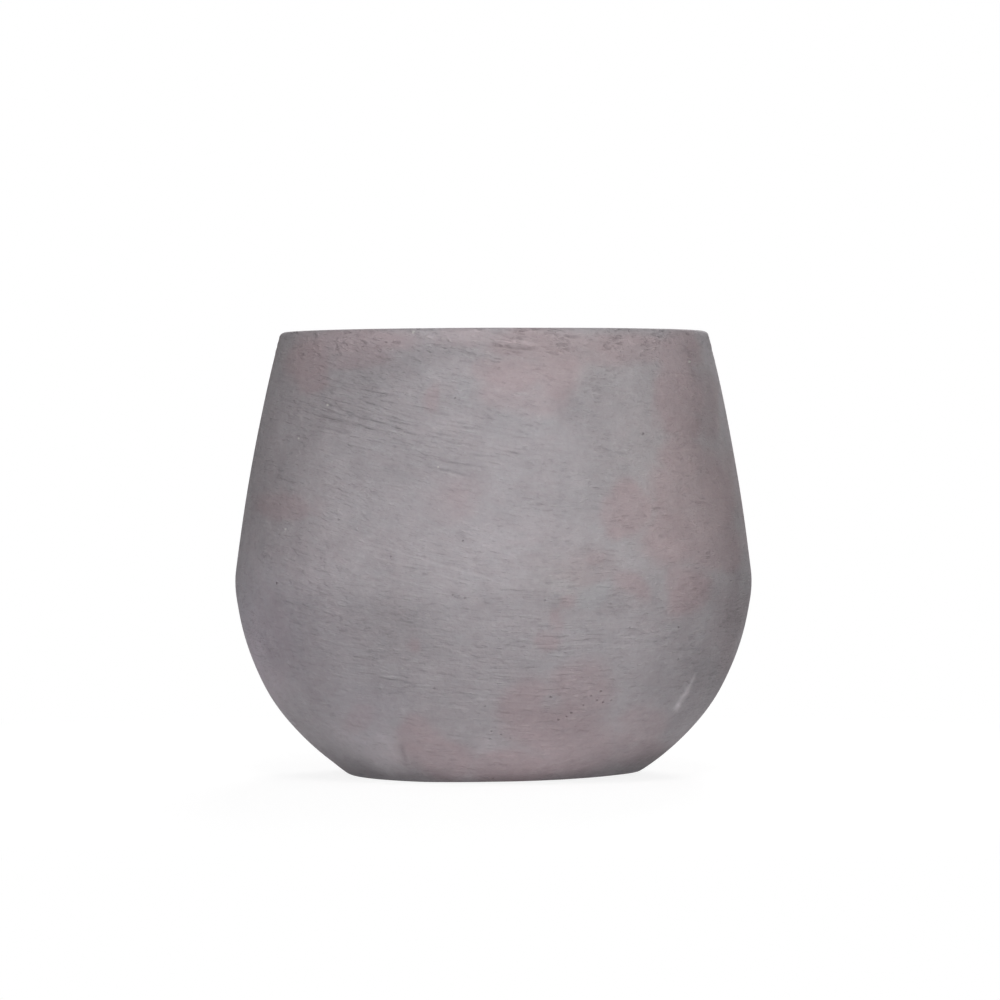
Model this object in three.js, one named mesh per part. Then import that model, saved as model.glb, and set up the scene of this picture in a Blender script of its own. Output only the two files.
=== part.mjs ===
// Concrete bowl planter: a thin cast shell with a drain hole in its floor, a rubber plug that
// lifts out of the hole, and four rubber feet stuck under the base.
// Millimetres, +Z up. The origin is on the ground, on the planter's axis.
import * as THREE from "three";

// ---- shell: outside ----
const SHELL_HEIGHT = 282;
const RIM_DIAMETER = 273;
const BELLY_DIAMETER = 330;
const BELLY_HEIGHT = 124.7; // of the widest ring, above the shell's own underside
const BASE_DIAMETER = 183.5; // before its edge is rounded
const SIDE_ARC_RADIUS = 1190; // the side is almost a straight cone
const BOWL_ARC_RADIUS = 152; // the lower half is part of a ball
const KEEL_RADIUS = 45; // the soft edge where side and bowl meet
const RIM_OUTER_ROUND = 4;
const BASE_EDGE_ROUND = 5;

// ---- shell: inside and underside ----
const WALL_THICKNESS = 13;
const FLOOR_THICKNESS = 12; // above the recess
const FLOOR_FILLET = 30; // between the inside of the bowl and the flat floor
const RIM_INNER_ROUND = 2.5;
const BASE_RING_WIDTH = 15; // flat ring that the recess leaves round the base
const RECESS_DEPTH = 4;
const RECESS_FILLET = 3;

// ---- drain hole ----
const DRAIN_DIAMETER = 22; // at the floor's top face
const DRAIN_DRAFT = THREE.MathUtils.degToRad(2); // the hole narrows downwards
const DRAIN_TOP_CHAMFER = 1;
const DRAIN_BOTTOM_CHAMFER = 1.5;

// ---- drain plug ----
const PLUG_CLEARANCE = 0.3; // round the ribs and under the flange
const PLUG_FLANGE_OVERHANG = 6; // past the edge of the hole
const PLUG_FLANGE_THICKNESS = 3;
const PLUG_FLANGE_ROUND = 1;
const PLUG_SHANK_REACH = 1; // below the underside of the floor
const PLUG_SHANK_WALL = 5; // round the hollow in the shank's lower end
const PLUG_CORE_ROOF = 4; // between that hollow and the flange
const PLUG_RIB_PITCH = 4;
const PLUG_RIB_DEPTH = 0.8;
const PLUG_RIB_HEIGHT = 2;
const KNOB_NECK_DIAMETER = 9;
const KNOB_NECK_HEIGHT = 4;
const KNOB_NECK_FILLET = 1.5;
const KNOB_OVERHANG = 3; // past the neck
const KNOB_HEIGHT = 5;
const KNOB_ROUND = 2.2;

// ---- rubber feet ----
const FOOT_COUNT = 4;
const FOOT_DIAMETER = 20;
const FOOT_INSET = 7; // from the wall of the recess
const FOOT_STAND_OFF = 1; // how far the feet lift the shell off the ground
const FOOT_EDGE_ROUND = 1;
const GLUE_FILM = 0.3; // between each foot and the underside

// ---- fineness of the facets ----
const SHELL_SEGMENTS = 72;
const PLUG_SEGMENTS = 36;
const FOOT_SEGMENTS = 28;

// Heights above the ground.
const shellUnderside = FOOT_STAND_OFF;
const rimTop = shellUnderside + SHELL_HEIGHT;
const recessCeiling = shellUnderside + RECESS_DEPTH;
const floorTop = recessCeiling + FLOOR_THICKNESS;

// The outside's three arcs, by their centres. The inside shares them, so the wall is even.
const keel = point(BELLY_DIAMETER / 2 - KEEL_RADIUS, shellUnderside + BELLY_HEIGHT);
const side = centreTouchingKeel(SIDE_ARC_RADIUS, point(RIM_DIAMETER / 2, rimTop));
const bowl = centreTouchingKeel(BOWL_ARC_RADIUS, point(BASE_DIAMETER / 2, shellUnderside));
const baseEdge = roundingCentre(bowl, BOWL_ARC_RADIUS - BASE_EDGE_ROUND, shellUnderside + BASE_EDGE_ROUND);
const recessRadius = baseEdge.x - BASE_RING_WIDTH;

// A point of a section: its distance from the axis and its height.
function point(radius, height) {
  return new THREE.Vector2(radius, height);
}

function angleTo(from, to) {
  return Math.atan2(to.y - from.y, to.x - from.x);
}

// Points along a circle, from one angle to another.
function arc(centre, radius, from, to, steps) {
  return Array.from({ length: steps + 1 }, (_, i) => {
    const angle = from + ((to - from) * i) / steps;
    return point(centre.x + radius * Math.cos(angle), centre.y + radius * Math.sin(angle));
  });
}

// Centre of a circle that the keel's circle touches from inside, and that passes through a corner.
function centreTouchingKeel(radius, corner) {
  const reach = radius - KEEL_RADIUS;
  const span = keel.distanceTo(corner);
  const along = (reach * reach - radius * radius + span * span) / (2 * span);
  const aside = Math.sqrt(reach * reach - along * along);
  const unit = corner.clone().sub(keel).divideScalar(span);
  const middle = keel.clone().addScaledVector(unit, along);
  // Of the two crossings, the one nearer the planter's axis, so that the wall bulges outwards.
  const crossings = [1, -1].map((sign) =>
    point(middle.x - sign * aside * unit.y, middle.y + sign * aside * unit.x),
  );
  return crossings[0].x < crossings[1].x ? crossings[0] : crossings[1];
}

// Centre of a rounding at a given height, at a given distance from the centre of the wall's arc.
function roundingCentre(wall, reach, height) {
  return point(wall.x + Math.sqrt(reach * reach - (height - wall.y) ** 2), height);
}

// A rounding's radius, kept a little smaller than the faces that it joins.
function roundWithin(radius, ...faces) {
  return Math.min(radius, ...faces.map((face) => 0.9 * face));
}

function radiusOfDrainAt(height) {
  return DRAIN_DIAMETER / 2 - (floorTop - height) * Math.tan(DRAIN_DRAFT);
}

// Turns a closed section about the Z axis, with its faces outwards whichever way its points run.
function revolve(section, segments) {
  const run = THREE.ShapeUtils.isClockWise(section) ? [...section].reverse() : section;
  const lathe = new THREE.LatheGeometry([...run, run[0].clone()], segments);
  return lathe.rotateX(Math.PI / 2);
}

// The outside, from the rim down to the base.
function outsideOfShell() {
  const rimRound = roundWithin(RIM_OUTER_ROUND, WALL_THICKNESS / 2);
  const rim = roundingCentre(side, SIDE_ARC_RADIUS - rimRound, rimTop - rimRound);
  const keelTop = angleTo(side, keel);
  const keelBottom = angleTo(bowl, keel);
  return [
    ...arc(rim, rimRound, Math.PI / 2, angleTo(side, rim), 5),
    ...arc(side, SIDE_ARC_RADIUS, angleTo(side, rim), keelTop, 9).slice(1),
    ...arc(keel, KEEL_RADIUS, keelTop, keelBottom, 4).slice(1),
    ...arc(bowl, BOWL_ARC_RADIUS, keelBottom, angleTo(bowl, baseEdge), 12).slice(1),
    ...arc(baseEdge, BASE_EDGE_ROUND, angleTo(bowl, baseEdge), -Math.PI / 2, 4).slice(1),
  ];
}

// The recess that holds the feet, and the drain hole up to the floor.
function undersideOfShell() {
  const fillet = roundWithin(RECESS_FILLET, RECESS_DEPTH);
  const recessCorner = point(recessRadius - fillet, recessCeiling - fillet);
  const drainFoot = radiusOfDrainAt(recessCeiling + DRAIN_BOTTOM_CHAMFER);
  const drainHead = radiusOfDrainAt(floorTop - DRAIN_TOP_CHAMFER);
  return [
    point(recessRadius, shellUnderside),
    ...arc(recessCorner, fillet, 0, Math.PI / 2, 3),
    point(drainFoot + DRAIN_BOTTOM_CHAMFER, recessCeiling),
    point(drainFoot, recessCeiling + DRAIN_BOTTOM_CHAMFER),
    point(drainHead, floorTop - DRAIN_TOP_CHAMFER),
    point(drainHead + DRAIN_TOP_CHAMFER, floorTop),
  ];
}

// The inside, from the floor up to the rim.
function insideOfShell() {
  const sideRadius = SIDE_ARC_RADIUS - WALL_THICKNESS;
  const keelRadius = KEEL_RADIUS - WALL_THICKNESS;
  const bowlRadius = BOWL_ARC_RADIUS - WALL_THICKNESS;
  const keelTop = angleTo(side, keel);
  const keelBottom = angleTo(bowl, keel);
  const floorEdge = roundingCentre(bowl, bowlRadius - FLOOR_FILLET, floorTop + FLOOR_FILLET);
  const rimRound = roundWithin(RIM_INNER_ROUND, WALL_THICKNESS / 2);
  const rim = roundingCentre(side, sideRadius + rimRound, rimTop - rimRound);
  const rimStart = angleTo(side, rim) + Math.PI; // where the rounding faces the side arc's centre
  return [
    ...arc(floorEdge, FLOOR_FILLET, -Math.PI / 2, angleTo(bowl, floorEdge), 7),
    ...arc(bowl, bowlRadius, angleTo(bowl, floorEdge), keelBottom, 9).slice(1),
    ...arc(keel, keelRadius, keelBottom, keelTop, 4).slice(1),
    ...arc(side, sideRadius, keelTop, angleTo(side, rim), 9).slice(1),
    ...arc(rim, rimRound, rimStart, Math.PI / 2, 4).slice(1),
  ];
}

function shellSection() {
  return [...outsideOfShell(), ...undersideOfShell(), ...insideOfShell()];
}

// The plug's section, from the hollow in its lower end up round the outside to the knob's top.
function plugSection() {
  const seat = floorTop + PLUG_CLEARANCE;
  const shankEnd = recessCeiling - PLUG_SHANK_REACH;
  const ribCrestAt = (height) => radiusOfDrainAt(height) - PLUG_CLEARANCE;
  const shankAt = (height) => ribCrestAt(height) - PLUG_RIB_DEPTH;
  const ribCount = Math.floor((seat - DRAIN_TOP_CHAMFER - shankEnd) / PLUG_RIB_PITCH) - 1;
  const ribs = Array.from({ length: ribCount }, (_, i) => {
    const crest = shankEnd + PLUG_RIB_PITCH * (i + 1);
    const low = crest - PLUG_RIB_HEIGHT / 2;
    const high = crest + PLUG_RIB_HEIGHT / 2;
    return [point(shankAt(low), low), point(ribCrestAt(crest), crest), point(shankAt(high), high)];
  }).flat();
  const coreRadius = shankAt(shankEnd) - PLUG_SHANK_WALL;
  const coreTop = seat - PLUG_CORE_ROOF;

  const flangeTop = seat + PLUG_FLANGE_THICKNESS;
  const flangeRadius = DRAIN_DIAMETER / 2 + PLUG_FLANGE_OVERHANG;
  const flangeRound = roundWithin(PLUG_FLANGE_ROUND, PLUG_FLANGE_THICKNESS);
  const flangeEdge = point(flangeRadius - flangeRound, flangeTop - flangeRound);

  const neckRadius = KNOB_NECK_DIAMETER / 2;
  const neckFillet = roundWithin(KNOB_NECK_FILLET, KNOB_NECK_HEIGHT, flangeEdge.x - neckRadius);
  const neckFoot = point(neckRadius + neckFillet, flangeTop + neckFillet);
  const knobBottom = flangeTop + KNOB_NECK_HEIGHT;
  const knobTop = knobBottom + KNOB_HEIGHT;
  const knobRound = roundWithin(KNOB_ROUND, KNOB_HEIGHT / 2, KNOB_OVERHANG);
  const knobEdge = neckRadius + KNOB_OVERHANG - knobRound;
  return [
    point(0, coreTop),
    point(coreRadius, coreTop),
    point(coreRadius, shankEnd),
    point(shankAt(shankEnd), shankEnd),
    ...ribs,
    point(shankAt(seat), seat),
    point(flangeRadius, seat),
    ...arc(flangeEdge, flangeRound, 0, Math.PI / 2, 3),
    ...arc(neckFoot, neckFillet, -Math.PI / 2, -Math.PI, 3),
    point(neckRadius, knobBottom),
    ...arc(point(knobEdge, knobBottom + knobRound), knobRound, -Math.PI / 2, 0, 4),
    ...arc(point(knobEdge, knobTop - knobRound), knobRound, 0, Math.PI / 2, 4),
    point(0, knobTop),
  ];
}

// One foot's section: a disc whose lower edge is rounded.
function footSection() {
  const radius = FOOT_DIAMETER / 2;
  const top = recessCeiling - GLUE_FILM;
  const round = roundWithin(FOOT_EDGE_ROUND, top);
  return [
    point(0, 0),
    ...arc(point(radius - round, round), round, -Math.PI / 2, 0, 3),
    point(radius, top),
    point(0, top),
  ];
}

const concrete = new THREE.MeshStandardMaterial({ color: 0x9f999d, roughness: 0.85, metalness: 0 });
const plugRubber = new THREE.MeshStandardMaterial({ color: 0x2b2a2a, roughness: 0.7, metalness: 0 });
const footRubber = new THREE.MeshStandardMaterial({ color: 0x1f1f20, roughness: 0.8, metalness: 0 });

function named(name, geometry, material) {
  const mesh = new THREE.Mesh(geometry, material);
  mesh.name = name;
  return mesh;
}

const planter = new THREE.Group();
planter.add(named("planter_shell", revolve(shellSection(), SHELL_SEGMENTS), concrete));
planter.add(named("drain_plug", revolve(plugSection(), PLUG_SEGMENTS), plugRubber));

const footCircleRadius = recessRadius - FOOT_INSET - FOOT_DIAMETER / 2;
for (let i = 0; i < FOOT_COUNT; i++) {
  const foot = named(`rubber_foot_${i + 1}`, revolve(footSection(), FOOT_SEGMENTS), footRubber);
  const turn = (i * 2 * Math.PI) / FOOT_COUNT;
  foot.position.set(Math.cos(turn), Math.sin(turn), 0).multiplyScalar(footCircleRadius);
  planter.add(foot);
}

export default planter;
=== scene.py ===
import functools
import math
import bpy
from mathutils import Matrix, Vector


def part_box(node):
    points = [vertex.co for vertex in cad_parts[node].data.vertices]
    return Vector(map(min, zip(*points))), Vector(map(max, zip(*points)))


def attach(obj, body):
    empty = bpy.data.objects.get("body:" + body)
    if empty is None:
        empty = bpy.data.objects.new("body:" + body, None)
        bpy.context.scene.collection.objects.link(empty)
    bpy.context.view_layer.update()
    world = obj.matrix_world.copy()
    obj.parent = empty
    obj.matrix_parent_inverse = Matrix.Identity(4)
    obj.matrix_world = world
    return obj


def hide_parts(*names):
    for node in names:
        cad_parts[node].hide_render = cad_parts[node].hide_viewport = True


bl_info = {
    "name": "Concrete Bowl Planter",
    "version": (1, 0, 0),
    "blender": (4, 5, 0),
    "location": "3D View > Sidebar > Planter",
    "description": "A cast concrete bowl planter with a drain plug and rubber feet, in a plain studio",
    "category": "Add Mesh",
}

import bmesh
import bpy
import numpy as np
from bpy.props import FloatProperty, FloatVectorProperty, IntProperty, PointerProperty
from mathutils import Vector, noise
from mathutils.bvhtree import BVHTree

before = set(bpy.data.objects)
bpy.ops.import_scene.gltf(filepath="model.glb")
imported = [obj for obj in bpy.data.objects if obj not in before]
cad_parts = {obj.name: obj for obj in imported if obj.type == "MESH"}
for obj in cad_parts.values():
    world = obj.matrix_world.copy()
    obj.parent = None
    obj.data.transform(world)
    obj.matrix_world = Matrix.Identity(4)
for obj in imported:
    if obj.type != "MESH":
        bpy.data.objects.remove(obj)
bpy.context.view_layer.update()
shell_low, shell_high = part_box("planter_shell")
plug_low, plug_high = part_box("drain_plug")
foot_low, foot_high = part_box("rubber_foot_1")

MM = 0.001
FEET = [f"rubber_foot_{i}" for i in range(1, 5)]

# The front elevation is the X-Z plane seen along +Y. What follows is measured on it in millimetres:
# "across" from the axis, to the right, and "up" from the ground.

# Pink-brown clouds in the cement skin: across, up, half width, half height, tilt in degrees, and how
# pink-brown, where 1 is full and less than 0 is cooler grey.
CLOUDS = [
    # top left, under the rim
    (-115, 265, 17, 19, 0, 1.0),
    (-110, 250, 10, 10, 10, 0.8),
    (-84, 275, 40, 9, 0, 0.8),
    (-84, 263, 21, 7, 0, 0.65),
    (-17, 275, 24, 8, 0, 0.45),
    # top middle
    (40, 256, 17, 22, 0, 0.85),
    (14, 252, 17, 12, 0, 0.85),
    (6, 240, 12, 8, 0, 0.6),
    (1, 254, 12, 9, 0, 0.6),
    (13, 236, 13, 6, 0, 0.7),
    (66, 266, 26, 7, 0, 0.6),
    (26, 272, 34, 12, 0, 0.8),
    (29, 236, 19, 9, 0, 0.45),
    # top right and the column below it
    (84, 270, 36, 11, 0, 0.8),
    (116, 268, 16, 16, 0, 0.9),
    (116, 240, 17, 26, 0, 0.95),
    (103, 232, 7, 12, 0, 0.4),
    (135, 236, 8, 26, 10, 0.6),
    (120, 222, 15, 10, 0, 1.0),
    # right, above the keel
    (80, 181, 11, 12, 0, 0.95),
    (85, 170, 13, 15, 0, 0.9),
    (118, 177, 26, 26, 0, 0.9),
    (120, 204, 16, 14, 10, 0.95),
    (138, 176, 19, 36, 0, 0.9),
    (115, 154, 25, 21, 0, 1.0),
    (69, 172, 8, 11, 0, 0.8),
    (142, 146, 22, 15, 0, 0.85),
    (124, 120, 12, 17, -25, 1.0),
    (58, 138, 20, 14, 0, 0.35),
    (61, 144, 8, 6, 0, 0.7),
    (74, 164, 9, 10, 0, 0.9),
    (84, 124, 14, 7, -25, 0.8),
    (117, 129, 8, 10, 0, 0.8),
    (45, 116, 5, 5, 0, 0.7),
    (39, 105, 4, 8, 0, 0.7),
    (32, 91, 8, 6, 20, 0.75),
    # bottom middle
    (22, 52, 18, 17, 0, 0.85),
    (52, 60, 20, 20, 0, 0.8),
    (38, 38, 32, 22, 0, 0.85),
    (52, 24, 28, 24, 0, 0.8),
    (16, 10, 34, 12, 0, 0.9),
    (92, 39, 16, 13, 0, 0.6),
    (89, 20, 20, 13, 0, 0.62),
    # bottom left
    (-45, 31, 14, 13, 0, 0.8),
    (-35, 16, 25, 15, -14, 0.85),
    # small ones
    (-130, 174, 18, 10, -8, 0.75),
    (-110, 172, 12, 8, 0, 0.3),
    (-35, 239, 5, 9, 0, 0.6),
    (-24, 178, 15, 16, 0, 0.3),
    (-25, 179, 6, 10, 15, 0.55),
    (-46, 86, 4, 6, 0, 0.7),
    (-85, 42, 12, 8, 35, 0.4),
    (-146, 64, 10, 10, 0, 0.3),
    # a faint warmth at the left and below the keel, and cooler spots
    (-125, 150, 36, 130, 0, 0.1),
    (-140, 84, 18, 42, 0, 0.3),
    (148, 96, 12, 40, 0, 0.3),
    (62, 118, 10, 9, 35, -0.35),
    (35, 53, 7, 6, 0, -0.45),
    (12, 234, 10, 5, 0, -0.25),
    (-15, 242, 5, 6, 0, -0.25),
    (20, 222, 22, 7, 0, -0.15),
]

# Where the grey leans to violet (more than 0) or brown (less than 0): placed like the clouds, and how
# much more blue there is.
LEANINGS = [
    (-152, 88, 26, 44, 0, 0.05),
    (-118, 90, 30, 44, 0, 0.02),
    (-78, 46, 26, 22, 0, 0.02),
    (112, 190, 55, 70, 0, -0.022),
    (40, 266, 60, 24, 0, -0.015),
    (45, 130, 20, 16, 0, -0.018),
    (-150, 270, 24, 16, 0, -0.02),
]

# Lighter and darker places of the same colour: placed like the clouds, and per cent. Some are the concrete's
# own uneven tone, and some are painted light and shade: painted shade below the keel and along the foot's
# edge, and painted light above the keel, at the lower left edge and from the floor's bounce above the foot.
TONES_AND_PAINTED_LIGHT = [
    # a darker sweep from under the rim down to the left
    (-46, 263, 22, 9, 18, -8),
    (-80, 243, 34, 16, 30, -10),
    (-66, 222, 26, 14, 20, -5),
    (-112, 226, 20, 12, 50, -5),
    (-136, 185, 14, 34, 16, -9),
    (-130, 250, 10, 38, 12, -4),
    (-98, 192, 14, 26, 0, 4),
    (-85, 262, 40, 20, 0, -4.5),
    (-122, 202, 24, 14, 0, -6),
    (-62, 188, 16, 12, 0, -5),
    # lighter and darker patches above the keel, and painted light on the band just above it
    (-18, 277, 22, 5, 0, 9),
    (55, 268, 60, 14, 0, 3),
    (24, 249, 30, 9, 0, 9),
    (-30, 240, 16, 12, 0, 3.5),
    (29, 226, 18, 15, 0, 8),
    (55, 233, 15, 16, 0, -14),
    (-26, 250, 18, 12, 0, 3.5),
    (141, 250, 7, 20, 10, 7),
    (-25, 212, 14, 8, 0, 4),
    (-18, 190, 14, 8, 20, -3.5),
    (-54, 199, 27, 12, -6, -9),
    (100, 192, 24, 26, 0, 9),
    (76, 194, 13, 13, 0, -5),
    (112, 196, 14, 24, 0, 3),
    (110, 150, 24, 18, 0, 6),
    (90, 144, 26, 16, 0, 6),
    (128, 200, 11, 28, 8, -7),
    (14, 124, 34, 8, 0, 4),
    (-112, 124, 10, 10, 0, 4),
    (-94, 156, 20, 20, 0, 7),
    (-108, 132, 30, 12, 0, 4),
    (-146, 152, 9, 28, 0, -8),
    # painted light: a lighter band above the keel
    (0, 148, 40, 20, 0, 7.5),
    (-20, 178, 90, 40, 0, 2.5),
    (-62, 209, 10, 14, 0, 5),
    (108, 206, 12, 14, 0, -4),
    (-8, 234, 26, 7, 0, -4),
    (60, 140, 20, 9, 0, -3),
    (120, 266, 16, 28, 0, 12),
    (129, 240, 10, 50, 12, -13),
    (148, 226, 7, 60, 12, 16),
    (-126, 272, 16, 10, 0, 3),
    (0, 278, 130, 9, 0, 11),
    (128, 278, 14, 7, 0, 7),
    (-1, 277, 14, 5, 0, -8),
    (22, 266, 18, 4, 0, -4),
    (-86, 276, 16, 6, 0, 5),
    # below the keel: painted shade in a band under it, darker patches, darker places at the lower right
    # edge, and painted light at the lower left edge
    # painted shade: a darker band under the keel
    (-10, 114, 140, 7, 0, -6),
    (0, 88, 116, 20, 0, -3.5),
    (-62, 100, 32, 18, 0, -11),
    (-40, 86, 26, 18, 0, -3),
    (-56, 60, 26, 14, 0, -9),
    (-114, 80, 12, 34, 0, -10),
    (-130, 98, 16, 26, 0, -7),
    (130, 110, 14, 26, 0, -7),
    (-4, 70, 14, 14, 0, -5),
    (28, 46, 14, 9, 0, -4),
    (150, 100, 12, 44, 0, -22),
    (132, 64, 16, 28, 30, -22),
    (112, 34, 20, 11, 40, -9),
    # painted light at the lower left edge
    (-152, 84, 12, 40, 0, 14),
    (-134, 60, 10, 12, 0, 12),
    (-146, 76, 8, 20, 0, 6),
    (152, 150, 8, 26, 0, -7),
    # the foot, and small patches above it: painted bounce light from the floor in a band above the foot, and
    # painted shadow in a dark line along the foot's edge, where it meets the floor
    (55, 35, 20, 9, 0, -5),
    (104, 62, 16, 14, 0, -8),
    (-90, 42, 12, 18, 0, 7),
    (-46, 63, 10, 8, 0, 6),
    (110, 13, 24, 9, 0, -14),
    (84, 42, 17, 14, 0, 12),
    (-65, 16, 11, 12, 0, 13),
    (34, 22, 16, 7, 0, 6),
    (72, 28, 34, 9, 0, 6),
    (52, 106, 12, 9, 0, -4),
    (124, 104, 14, 10, 0, -4),
    (-42, 88, 12, 12, 0, -4),
    (-75, 88, 28, 26, 0, -4),
    # painted bounce light from the floor: a lighter band above the foot
    (26, 26, 60, 11, 0, 9),
    (-76, 28, 26, 14, 0, 9),
    (0, 26, 110, 11, 0, 7),
    (8, 13, 62, 8, 0, 12),
    # painted shadow: a dark line along the foot's edge, where it meets the floor
    (0, 2, 120, 4, 0, -30),
    (-92, 5, 26, 10, 0, -18),
    (98, 8, 40, 10, 0, -24),
]

# Where the slurry brush left long strokes: across, up, half width, half height, tilt, strength.
BRUSHED = [
    (-72, 232, 62, 26, -10, 1.0),
    (-20, 212, 50, 18, -12, 0.8),
    (0, 134, 100, 20, -4, 0.45),
    (50, 92, 90, 14, 5, 0.5),
    (-45, 62, 45, 10, 0, 0.5),
    (10, 275, 55, 12, 0, 0.7),
    (10, 60, 70, 18, -5, 0.4),
]

# Single strokes of the slurry brush, scratches and ridges: from (across, up) to (across, up), width and
# strength (negative is dark). A stroke's strength both darkens or lightens its colour and lowers or raises
# its bump, so the dark grooves carry painted shade and the light ridges painted light besides their bump.
STROKES = [
    # under the rim
    ((4.3, 278.4), (14.5, 276.1), 1.2, -1.1),
    ((-13.0, 272.6), (9.5, 271.3), 1.6, -1.6),
    ((6.0, 271.6), (17.5, 269.6), 1.6, -1.7),
    ((14.0, 269.9), (29.0, 270.4), 2.0, -2.3),
    ((-28.0, 279.2), (-21.0, 278.0), 1.0, -0.9),
    ((-34.0, 270.5), (-17.0, 269.5), 1.2, -0.7),
    ((30.0, 281.0), (43.0, 278.4), 2.2, -1.4),
    ((42.0, 278.3), (55.0, 277.2), 2.0, -1.2),
    ((-34.0, 276.4), (-6.0, 276.6), 4.5, 0.45),
    ((1.0, 274.4), (31.0, 273.0), 3.4, 1.4),
    ((60.0, 281.0), (100.0, 280.0), 3.0, -0.6),
    ((-88.0, 280.0), (-84.0, 266.0), 2.5, -0.5),
    # at the upper left, dark grooves, some with a light ridge under them: painted shade in the grooves and
    # painted light on the ridges below them, the way light from above falls on them
    ((-112.0, 223.6), (-83.5, 216.2), 1.5, -1.3),
    ((-108.0, 221.0), (-86.0, 215.2), 1.5, 0.7),
    ((-43.0, 198.2), (-10.6, 191.8), 1.6, -1.7),
    ((-36.0, 195.4), (-12.0, 190.4), 1.5, 0.9),
    ((-85.0, 240.6), (-57.0, 229.6), 1.7, -1.0),
    ((-80.0, 236.8), (-60.0, 228.6), 1.5, 0.8),
    ((-49.5, 208.6), (-37.5, 202.6), 1.5, -1.2),
    ((-37.5, 224.8), (-2.0, 219.8), 1.5, -1.2),
    ((-30.0, 222.0), (-4.0, 218.2), 1.4, 0.7),
    ((-34.5, 230.8), (-25.0, 229.1), 1.6, -1.3),
    ((-112.0, 239.8), (-80.0, 227.2), 1.7, -0.9),
    ((-104.0, 234.6), (-84.0, 226.6), 1.5, 0.7),
    ((-54.0, 214.4), (-37.5, 210.8), 1.4, -1.0),
    ((-66.0, 222.4), (-44.0, 216.0), 1.4, -0.9),
    ((-98.0, 212.4), (-76.0, 207.6), 1.3, -0.7),
    ((-90.0, 233.6), (-70.0, 224.4), 1.4, -0.8),
    ((-20.0, 206.0), (8.0, 203.4), 1.3, -0.7),
    # across the keel and below it
    ((-90.0, 155.0), (26.0, 121.0), 1.9, 0.9),
    ((-64.0, 141.0), (-6.0, 124.0), 1.7, 0.6),
    ((-46.0, 152.0), (36.0, 132.0), 1.6, 0.5),
    ((-74.0, 133.0), (-30.0, 122.0), 1.6, 0.6),
    ((-28.0, 119.8), (-15.0, 117.0), 2.2, -0.7),
    ((14.0, 86.2), (64.0, 86.0), 1.3, -0.8),
    ((20.0, 88.0), (84.0, 89.4), 1.6, 0.7),
    ((60.0, 85.4), (104.0, 93.4), 1.3, -0.5),
    ((88.0, 91.4), (124.0, 99.4), 2.2, 0.7),
    ((-75.0, 70.0), (-41.0, 65.6), 2.0, 0.8),
    ((-72.0, 68.0), (-44.0, 63.8), 1.2, -0.7),
    ((-22.0, 73.0), (34.0, 66.6), 1.4, -0.6),
    ((-8.0, 60.0), (16.0, 57.0), 1.4, 0.4),
    # a scratch at the lower right, and a chip at the foot
    ((128.0, 70.5), (120.0, 54.0), 2.6, 2.8),
    ((124.0, 61.5), (112.0, 42.0), 3.8, 3.6),
    ((118.0, 50.5), (112.5, 43.0), 4.6, 2.4),
    ((-58.0, 28.0), (-53.0, 8.0), 3.5, -1.9),
    ((-70.0, 33.0), (-58.0, 13.0), 3.5, 1.0),
]

# Pinholes that bubbles of air left: across, up, diameter.
PINHOLES = [
    (84, 281.5, 1.6),
    (92.5, 218.0, 2.2),
    (-23.2, 239.7, 1.7),
    (-134.5, 125.0, 2.4),
    (-36, 62.0, 2.0),
    (-5, 51.0, 1.7),
    (-2, 30.0, 1.8),
    (-95, 165.0, 1.7),
    (-18.3, 152.6, 1.6),
    (-62.4, 143.0, 1.5),
    (-24.5, 120.0, 1.7),
    (-21.0, 119.3, 1.5),
    (-17.0, 118.0, 1.9),
    (35.1, 56.5, 1.8),
    (48.0, 46.3, 1.8),
    (45.0, 44.0, 1.5),
    (40.0, 42.0, 1.7),
    (55.5, 51.1, 1.4),
    (60.2, 56.9, 1.5),
    (64.0, 54.0, 1.5),
    (66.0, 59.5, 1.9),
    (67.5, 52.6, 1.7),
    (72.8, 53.8, 1.5),
    (31.6, 116.5, 1.3),
    (-1.0, 35.0, 1.4),
    (5.0, 33.0, 1.5),
    (10.5, 30.5, 1.4),
    (83.7, 98.8, 1.5),
    (114.6, 98.2, 1.8),
    (114.7, 78.0, 1.8),
    (0, 3.7, 1.6),
]

# Pale specks of lime: across, up, diameter.
SPECKS = [
    (-49, 280.4, 2.2),
    (-102.5, 235.7, 1.8),
    (123, 263.0, 2.0),
    (-129, 158.6, 1.6),
    (-33.6, 197.6, 1.4),
    (-121, 215.0, 1.4),
]


def length(name, description, millimetres):
    return FloatProperty(
        name=name, description=description, default=millimetres * MM, min=0.0, unit="LENGTH", precision=4
    )


def angle(name, description, degrees):
    return FloatProperty(name=name, description=description, default=math.radians(degrees), subtype="ANGLE")


def share(name, description, default, most=1.0):
    return FloatProperty(
        name=name, description=description, default=default, min=0.0, max=most, subtype="FACTOR"
    )


def colour(name, description, default):
    return FloatVectorProperty(
        name=name, description=description, default=default, size=3, min=0.0, max=1.0, subtype="COLOR"
    )


def watts(name, description, default):
    return FloatProperty(name=name, description=description + ", in watts", default=default, min=0.0)


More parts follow.
